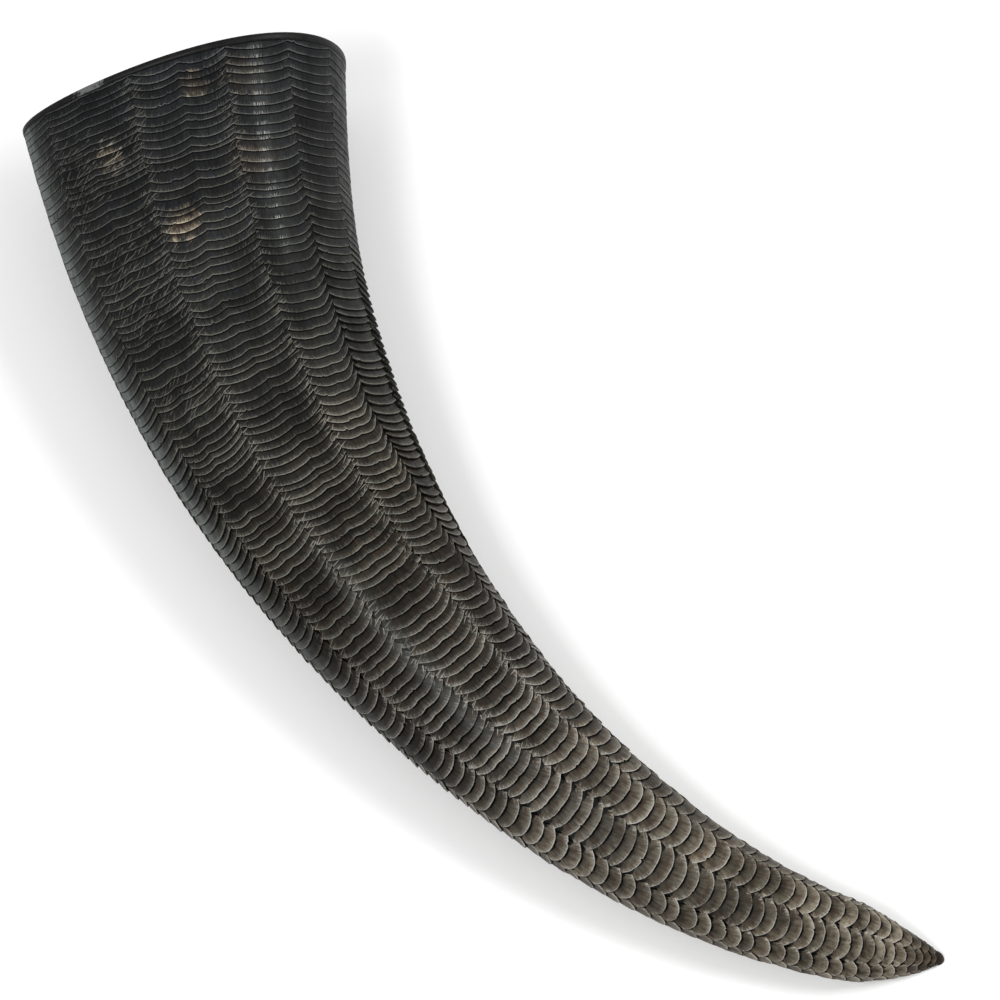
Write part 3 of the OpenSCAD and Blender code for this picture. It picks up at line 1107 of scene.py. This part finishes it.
    def scratches(self) -> Plug:
        """Draws sets of broken hairlines, left by a slipping gouge, each with its own slant and distance.

        Returns:
            How strongly a hairline is felt.
        """
        found = None
        for slant, apart, shift in self.look.hairs:
            turn, move = (0, 0, math.radians(slant)), (shift, 0, 0)
            ends = {"Vector": self.surface, "Location": move, "Rotation": turn}
            turned = self.add("ShaderNodeMapping", ends, vector_type="TEXTURE").outputs[0]
            waves = {"Scale": math.tau / 20 / apart, "Distortion": 3.0, "Detail": 1.0, "Detail Scale": 0.8}
            hairs = self.add("ShaderNodeTexWave", {"Vector": turned, **waves}, bands_direction="Y")
            broken = self.rise(self.noise(turned, (0.16, 1.1, 1.0), 1.0), 0.5, 0.6)
            line = self.times(self.rise(hairs.outputs["Fac"], 0.89, 0.98), broken)
            found = line if found is None else self.maths("MAXIMUM", found, line)
        return found


@dataclass(frozen=True)
class BuffedHorn:
    """Horn buffed on a wheel: black, faintly streaked along its growth, with a soft gloss."""

    name: str
    dark: str
    light: str
    roughness: float
    streak_length: float
    streak_width: float
    specular: float
    worn: tuple[Spot, ...] = ()
    form: HornForm | None = None
    scuff: str = "#8d9090"
    scuff_grain: float = 1.2
    uneven_gloss: float = 0.12
    relief: float = 0.1

    def material(self) -> bpy.types.Material:
        """Builds the finish.

        Returns:
            The material.
        """
        graph = Graph(self.name)
        place = graph.add("ShaderNodeTexCoord").outputs["Object"]
        along, across = 1 / (self.streak_length * MM), 1 / (self.streak_width * MM)
        streak = graph.noise(place, (along, across, across), 5.0)
        colour = graph.blend(graph.rise(streak, 0.35, 0.7), self.dark, self.light)
        if self.worn:
            grain = {"Vector": place, "Scale": 1 / (self.scuff_grain * MM), "Detail": 3.0}
            scuffs = graph.add("ShaderNodeTexNoise", grain).outputs["Fac"]
            colour = graph.blend(graph.near(self.form, place, self.worn, scuffs), colour, self.scuff)
        graph.feed(Socket.COLOUR, colour)
        rough = self.roughness + self.uneven_gloss
        graph.feed(Socket.ROUGHNESS, graph.rise(streak, 0.3, 0.7, self.roughness, rough))
        graph.feed(Socket.SPECULAR, self.specular)
        graph.bump(streak, 0.2, self.relief)
        return graph.material


@dataclass(frozen=True)
class Studio:
    """A pale table, soft light from all round and the camera that took the picture."""

    azimuth: float = 76.3
    elevation: float = 73.55
    distance: float = 1100.0
    target: Triple = (-10.53, 9.2, 20.0)
    focal_pixels: float = 3827.0
    picture_pixels: float = 1000.0
    sensor: float = 36.0
    table_half: float = 4.0
    table_roughness: float = 0.9
    room_light: float = 0.62
    lamp_size: float = 0.45

    def camera(self) -> None:
        """Sets the camera at the picture's viewing angle."""
        azimuth, elevation = math.radians(self.azimuth), math.radians(self.elevation)
        level = math.cos(elevation)
        back = Vector((math.sin(azimuth) * level, -math.cos(azimuth) * level, math.sin(elevation)))
        right = Vector((math.cos(azimuth), math.sin(azimuth), 0.0))
        up = back.cross(right)
        data = bpy.data.cameras.new("picture_camera")
        data.sensor_width = self.sensor
        data.lens = self.focal_pixels * self.sensor / self.picture_pixels
        camera = bpy.data.objects.new("picture_camera", data)
        turn = Matrix((right, up, back)).transposed().to_4x4()
        camera.matrix_world = Matrix.Translation((Vector(self.target) + back * self.distance) * MM) @ turn
        bpy.context.scene.collection.objects.link(camera)
        bpy.context.scene.camera = camera

    def table(self) -> None:
        """Builds the pale table top that the horn lies on."""
        bm = bmesh.new()
        bmesh.ops.create_grid(bm, x_segments=1, y_segments=1, size=self.table_half)
        table = placed("table_top", bm)
        graph = Graph("white_table")
        graph.feed(Socket.COLOUR, "#f7f7f7")
        graph.feed(Socket.ROUGHNESS, self.table_roughness)
        table.data.materials.append(graph.material)

    def world(self) -> None:
        """Fills the room with even light; what the camera and gloss see of it is white."""
        world = bpy.data.worlds.new("white_room")
        bpy.context.scene.world = world
        world.use_nodes = True
        world.node_tree.nodes.clear()
        nodes = Nodes(world.node_tree)
        seen = nodes.add("ShaderNodeBackground", {"Color": "#ffffff", "Strength": 1.0})
        light = nodes.add("ShaderNodeBackground", {"Color": "#ffffff", "Strength": self.room_light})
        ray = nodes.add("ShaderNodeLightPath").outputs
        gloss = nodes.maths("MAXIMUM", ray["Is Glossy Ray"], ray["Is Transmission Ray"])
        either = nodes.maths("MAXIMUM", ray["Is Camera Ray"], gloss)
        choose = nodes.add("ShaderNodeMixShader", {0: either, 1: light.outputs[0], 2: seen.outputs[0]})
        nodes.add("ShaderNodeOutputWorld", {"Surface": choose.outputs[0]})

    def lamp(self, name: str, place: Triple, energy: float) -> None:
        """Adds one soft area lamp that faces the horn.

        Args:
            name: the lamp's name.
            place: where it hangs, in metres.
            energy: its power, in watts.
        """
        data = bpy.data.lights.new(name, "AREA")
        data.size = self.lamp_size
        data.energy = energy
        lamp = bpy.data.objects.new(name, data)
        lamp.location = place
        lamp.rotation_euler = (-Vector(place)).to_track_quat("-Z", "Y").to_euler()
        bpy.context.scene.collection.objects.link(lamp)

    def build(self) -> None:
        """Sets up the whole studio."""
        self.camera()
        self.table()
        self.world()
        self.lamp("inner_softbox", (0.07, 0.9, 1.0), 10.0)
        self.lamp("outer_softbox", (0.3, -0.65, 1.2), 9.0)
        bpy.context.scene.view_settings.view_transform = "Standard"


def track_cuts() -> tuple[TrackCut, ...]:
    """Sets how the tracks are cut.

    Returns:
        The cuts, one for each track, in order round the horn.
    """
    inner = TrackCut(
        columns=30,
        arcs=(1.3, 1.4, 2.3),
        slips=(0.16, 0.0),
        recede=(0.5, 0.0),
        cusp_shadows=(1.2, 0.0),
        whiskers=(0.2, 0.3),
        fray=0.5,
        shades=((0.0, 0.75), (0.15, 0.85), (0.28, 1.3), (0.5, 1.3), (0.7, 1.05), (1.0, 1.0)),
    )
    shoulder = TrackCut(
        columns=40,
        arcs=(1.6, 2.2, 2.6),
        lobes=(0.1, 0.5),
        slips=(0.16, 0.0),
        recede=(0.0, 1.8),
        cusp_shadows=(0.3, 1.8),
        whiskers=(0.8, 0.3),
        shades=((0.0, 0.72), (0.16, 0.82), (0.24, 1.12), (0.32, 1.45), (0.38, 1.2), (0.44, 0.9), (1.0, 1.0)),
    )
    crown = TrackCut(
        columns=44,
        arcs=(0.9, 1.9, 2.8),
        lobes=(1.3, 0.8),
        cusp_shadows=(0.0, 0.3),
        whiskers=(0.8, 0.7),
        shades=((0.0, 1.1), (0.4, 1.05), (1.0, 1.0)),
    )
    outer = TrackCut(
        columns=44,
        arcs=(0.5, 1.5, 1.9),
        lobes=(0.6, 0.7),
        slips=(-0.06, -0.09),
        whiskers=(0.4, 0.8),
        shades=(
            (0.0, 0.66), (0.2, 0.74), (0.32, 0.9), (0.5, 0.82),
            (0.6, 0.9), (0.68, 0.85), (0.8, 0.72), (1.0, 0.95),
        ),
    )
    flank = TrackCut(
        whiskers=(0.2, 0.4),
        fray=0.35,
        shades=((0.0, 0.7), (0.55, 0.65), (0.7, 1.05), (0.8, 1.1), (0.87, 0.75), (1.0, 0.85)),
    )
    side, brow = TrackCut(fray=0.35), TrackCut(fray=0.9)
    return inner, shoulder, crown, outer, flank, side, shoulder, crown, crown, shoulder, side, brow


def dress(piece: bpy.types.Object, material: bpy.types.Material, slot: str, *nodes: str) -> bpy.types.Object:
    """Gives a piece its finish, hangs it under the root and hides the CAD pieces that it replaces.

    Args:
        piece: the new object.
        material: its finish.
        slot: not used.
        nodes: the CAD nodes that it replaces.

    Returns:
        The same piece.
    """
    piece.data.materials.append(material)
    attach(piece, "root")
    if nodes:
        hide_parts(*nodes)
    log.info("%s: %d faces for %s", piece.name, len(piece.data.polygons), ", ".join(nodes))
    return piece


def main() -> None:
    """Builds the studio, then the horn from the inside out."""
    logging.basicConfig(level=logging.INFO, format="%(name)s: %(message)s")
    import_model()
    low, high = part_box("mouth_band")
    form = HornForm(origin=(low.x / MM, (low.y + high.y) / 2 / MM))
    plan = TrackPlan(form.length)
    Studio().build()

    body = HornBody(form)
    black = BuffedHorn("buffed_black_horn", "#070707", "#141312", 0.36, 30.0, 2.0, 0.12)
    scuffed = replace(black, name="scuffed_black_horn", worn=(Spot(0.001, 123, 6.0, 0.4),), form=form)
    raw = BuffedHorn("scraped_inner_horn", "#2a241d", "#5b4f40", 0.5, 40.0, 1.6, 0.3)
    brown = BuffedHorn("buffed_brown_horn", "#0b0704", "#2b2015", 0.42, 9.0, 0.6, 0.08)
    under = black.material()
    dress(body.band(), scuffed.material(), "polished_horn", "mouth_band")
    dress(body.sheath(), raw.material(), "horn_body", "horn_wall").data.materials.append(under)
    dress(body.solid_end(), under, "horn_body", "solid_end")
    dress(body.point(), brown.material(), "polished_horn", "smooth_point")

    carved = CarvedHorn(form).material()
    for number, cut in enumerate(track_cuts()):
        track = ScaleTrack(form, plan, number, cut)
        dress(track.build(), carved, "carved_scales", f"scale_track_{number + 1:02d}")


if __name__ == "__main__":
    main()
